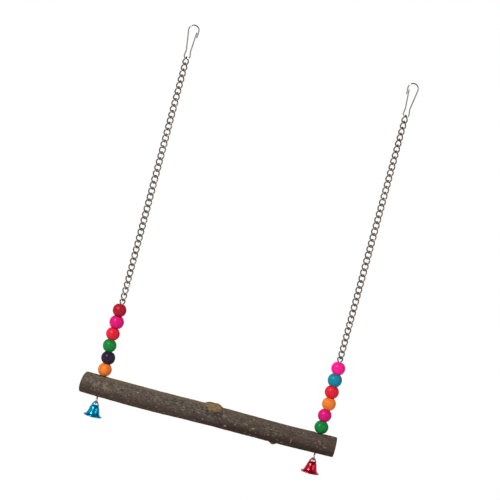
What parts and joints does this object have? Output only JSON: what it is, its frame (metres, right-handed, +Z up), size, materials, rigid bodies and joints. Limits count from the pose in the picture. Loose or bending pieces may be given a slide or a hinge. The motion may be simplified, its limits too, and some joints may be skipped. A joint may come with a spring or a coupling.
{
  "type": "bird swing",
  "caption": "Hanging bird swing: a bark-covered branch perch on twisted-link chains with wire snap clips, dyed wooden beads above it and small metal bells below.",
  "frame": {"origin": "midway between the clips, at the height where the inside of their bows rests on what carries them", "axes": "+Z up along the hanging chains, +X along the perch to the right seen from the front, +Y to the back"},
  "size_m": [0.2016, 0.0187, 0.3108],
  "materials": {
    "bark": "rough natural bark, sawn ends",
    "clip_steel": "bright nickel-plated spring wire",
    "chain_steel": "nickel-plated twisted wire links",
    "wire_steel": "plain bent steel wire",
    "bell_blue": "metallic blue lacquer",
    "bell_red": "metallic red lacquer",
    "dyed_crimson": "turned wood, crimson dye, lacquered",
    "dyed_magenta": "turned wood, magenta dye, lacquered",
    "dyed_red": "turned wood, red dye, lacquered",
    "dyed_green": "turned wood, green dye, lacquered",
    "dyed_purple": "turned wood, purple dye, lacquered",
    "dyed_orange": "turned wood, orange dye, lacquered",
    "dyed_pink": "turned wood, pink dye, lacquered",
    "dyed_teal": "turned wood, teal dye, lacquered"
  },
  "bodies": {
    "hooks": {"left_hook": "clip_steel", "right_hook": "clip_steel"},
    "perch": {"perch": "bark", "left_eye_wire": "wire_steel", "right_eye_wire": "wire_steel"},
    "left_gate": {"left_gate": "clip_steel"},
    "left_top_link": {"left_top_link": "chain_steel"},
    "left_chain": {"left_chain": "chain_steel"},
    "left_bottom_link": {"left_bottom_link": "chain_steel"},
    "left_bead_1": {"left_bead_1": "dyed_crimson"},
    "left_bead_2": {"left_bead_2": "dyed_magenta"},
    "left_bead_3": {"left_bead_3": "dyed_red"},
    "left_bead_4": {"left_bead_4": "dyed_green"},
    "left_bead_5": {"left_bead_5": "dyed_purple"},
    "left_bead_6": {"left_bead_6": "dyed_orange"},
    "left_bell": {"left_bell": "bell_blue", "left_bell_loop": "bell_blue"},
    "left_clapper": {"left_clapper": "bell_blue"},
    "right_gate": {"right_gate": "clip_steel"},
    "right_top_link": {"right_top_link": "chain_steel"},
    "right_chain": {"right_chain": "chain_steel"},
    "right_bottom_link": {"right_bottom_link": "chain_steel"},
    "right_bead_1": {"right_bead_1": "dyed_pink"},
    "right_bead_2": {"right_bead_2": "dyed_teal"},
    "right_bead_3": {"right_bead_3": "dyed_red"},
    "right_bead_4": {"right_bead_4": "dyed_orange"},
    "right_bead_5": {"right_bead_5": "dyed_magenta"},
    "right_bead_6": {"right_bead_6": "dyed_green"},
    "right_bell": {"right_bell": "bell_red", "right_bell_loop": "bell_red"},
    "right_clapper": {"right_clapper": "bell_red"}
  },
  "joints": [
    {"name": "left_gate_spring", "type": "hinge", "parent": "hooks", "child": "left_gate", "pos_m": [-0.08383, 0, -0.02302], "axis": [0, 1, 0], "range_deg": [-12, 0], "stiffness_Nm_per_rad": 0.08},
    {"name": "swing", "type": "hinge", "parent": "hooks", "child": "left_top_link", "pos_m": [-0.086, 0, -0.0256], "axis": [1, 0, 0], "range_deg": [-30, 30]},
    {"name": "sway", "type": "hinge", "parent": "left_top_link", "child": "left_chain", "pos_m": [-0.086, 0, -0.02966], "axis": [0, 1, 0], "range_deg": [-10, 10]},
    {"name": "left_lower_sway", "type": "hinge", "parent": "left_chain", "child": "left_bottom_link", "pos_m": [-0.086, 0, -0.2114], "axis": [0, 1, 0], "range_deg": [-10, 10]},
    {"name": "right_gate_spring", "type": "hinge", "parent": "hooks", "child": "right_gate", "pos_m": [0.08383, 0, -0.02302], "axis": [0, 1, 0], "range_deg": [0, 12], "stiffness_Nm_per_rad": 0.08},
    {"name": "right_swing", "type": "hinge", "parent": "hooks", "child": "right_top_link", "pos_m": [0.086, 0, -0.0256], "axis": [1, 0, 0], "range_deg": [-30, 30]},
    {"name": "right_sway", "type": "hinge", "parent": "right_top_link", "child": "right_chain", "pos_m": [0.086, 0, -0.02966], "axis": [0, 1, 0], "range_deg": [-10, 10]},
    {"name": "right_lower_sway", "type": "hinge", "parent": "right_chain", "child": "right_bottom_link", "pos_m": [0.086, 0, -0.2114], "axis": [0, 1, 0], "range_deg": [-10, 10]},
    {"name": "perch_tilt", "type": "hinge", "parent": "left_bottom_link", "child": "perch", "pos_m": [-0.086, 0, -0.21536], "axis": [1, 0, 0], "range_deg": [-30, 30]},
    {"name": "left_bead_1_spin", "type": "hinge", "parent": "perch", "child": "left_bead_1", "pos_m": [-0.08645, 0, -0.2244], "axis": [0, 0, 1], "continuous": true},
    {"name": "left_bead_2_spin", "type": "hinge", "parent": "perch", "child": "left_bead_2", "pos_m": [-0.08626, 0, -0.2338], "axis": [0, 0, 1], "continuous": true},
    {"name": "left_bead_3_spin", "type": "hinge", "parent": "perch", "child": "left_bead_3", "pos_m": [-0.0868, 0, -0.24319], "axis": [0, 0, 1], "continuous": true},
    {"name": "left_bead_4_spin", "type": "hinge", "parent": "perch", "child": "left_bead_4", "pos_m": [-0.08694, 0, -0.25259], "axis": [0, 0, 1], "continuous": true},
    {"name": "left_bead_5_spin", "type": "hinge", "parent": "perch", "child": "left_bead_5", "pos_m": [-0.08562, 0, -0.26199], "axis": [0, 0, 1], "continuous": true},
    {"name": "left_bead_6_spin", "type": "hinge", "parent": "perch", "child": "left_bead_6", "pos_m": [-0.08581, 0, -0.27138], "axis": [0, 0, 1], "continuous": true},
    {"name": "left_bell_swing", "type": "hinge", "parent": "perch", "child": "left_bell", "pos_m": [-0.086, 0, -0.29837], "axis": [0, 1, 0], "range_deg": [-35, 35]},
    {"name": "left_clapper_swing", "type": "hinge", "parent": "left_bell", "child": "left_clapper", "pos_m": [-0.086, 0, -0.30277], "axis": [1, 0, 0], "range_deg": [-24, 24]},
    {"name": "right_bead_1_spin", "type": "hinge", "parent": "perch", "child": "right_bead_1", "pos_m": [0.08642, 0, -0.2244], "axis": [0, 0, 1], "continuous": true},
    {"name": "right_bead_2_spin", "type": "hinge", "parent": "perch", "child": "right_bead_2", "pos_m": [0.08624, 0, -0.2338], "axis": [0, 0, 1], "continuous": true},
    {"name": "right_bead_3_spin", "type": "hinge", "parent": "perch", "child": "right_bead_3", "pos_m": [0.08636, 0, -0.24319], "axis": [0, 0, 1], "continuous": true},
    {"name": "right_bead_4_spin", "type": "hinge", "parent": "perch", "child": "right_bead_4", "pos_m": [0.0866, 0, -0.25259], "axis": [0, 0, 1], "continuous": true},
    {"name": "right_bead_5_spin", "type": "hinge", "parent": "perch", "child": "right_bead_5", "pos_m": [0.08576, 0, -0.26199], "axis": [0, 0, 1], "continuous": true},
    {"name": "right_bead_6_spin", "type": "hinge", "parent": "perch", "child": "right_bead_6", "pos_m": [0.08564, 0, -0.27138], "axis": [0, 0, 1], "continuous": true},
    {"name": "right_bell_swing", "type": "hinge", "parent": "perch", "child": "right_bell", "pos_m": [0.086, 0, -0.29746], "axis": [0, 1, 0], "range_deg": [-35, 35]},
    {"name": "right_clapper_swing", "type": "hinge", "parent": "right_bell", "child": "right_clapper", "pos_m": [0.086, 0, -0.30186], "axis": [1, 0, 0], "range_deg": [-24, 24]}
  ],
  "couplings": [
    {"joint": "right_swing", "follows": "swing", "ratio": 1},
    {"joint": "right_sway", "follows": "sway", "ratio": 1},
    {"joint": "left_lower_sway", "follows": "sway", "ratio": -1},
    {"joint": "right_lower_sway", "follows": "sway", "ratio": -1}
  ]
}
